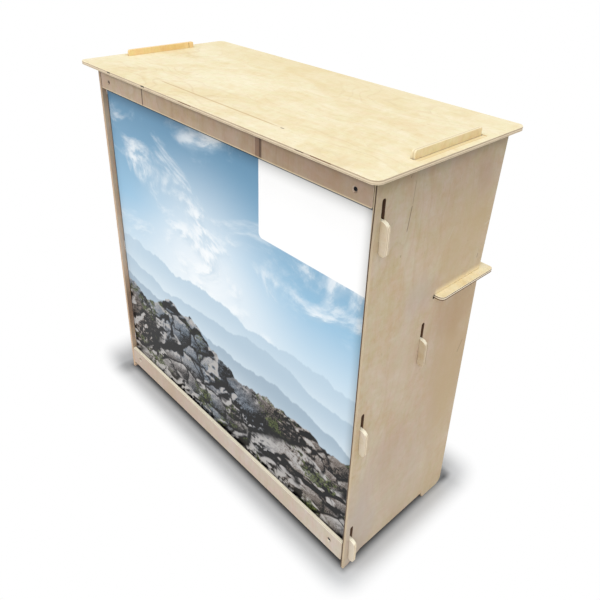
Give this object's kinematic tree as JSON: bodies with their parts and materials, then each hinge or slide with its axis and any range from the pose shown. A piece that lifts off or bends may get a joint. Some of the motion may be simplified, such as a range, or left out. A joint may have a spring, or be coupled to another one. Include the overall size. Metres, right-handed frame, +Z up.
{
  "type": "knock-down plywood counter",
  "caption": "Free-standing plywood counter of slotted boards with hooked joints, a printed front held by rails, a pull-out shelf and a lift-off top.",
  "frame": {"origin": "on the floor, under the middle of the top panel", "axes": "+X along the counter to the right as seen from the front, +Y from the printed front to the open back, +Z up"},
  "size_m": [1.05, 0.467, 1.056],
  "materials": {
    "birch_plywood": "sanded rotary-cut birch veneer, bare",
    "print_film": "matt printed sheet",
    "black_steel": "black oxide, satin",
    "zinc_steel": "zinc plated",
    "black_nylon": "matt moulded nylon"
  },
  "bodies": {
    "body": {"left_side_panel": "birch_plywood", "right_side_panel": "birch_plywood", "front_board": "birch_plywood", "top_rail": "birch_plywood", "bottom_rail": "birch_plywood", "printed_sheet": "print_film", "rail_screws": "black_steel", "rail_nuts": "zinc_steel", "rail_spacers": "black_nylon"},
    "top": {"top_panel": "birch_plywood"},
    "shelf": {"shelf": "birch_plywood"},
    "cross_board": {"cross_board": "birch_plywood"}
  },
  "joints": [
    {"name": "top_lift", "type": "slide", "parent": "body", "child": "top", "axis": [0, 0, 1], "range_m": [0, 0.04]},
    {"name": "shelf_pull", "type": "slide", "parent": "body", "child": "shelf", "axis": [0, 1, 0], "range_m": [0, 0.38]},
    {"name": "cross_board_lift", "type": "slide", "parent": "body", "child": "cross_board", "axis": [0, 0, 1], "range_m": [0, 0.038]}
  ]
}
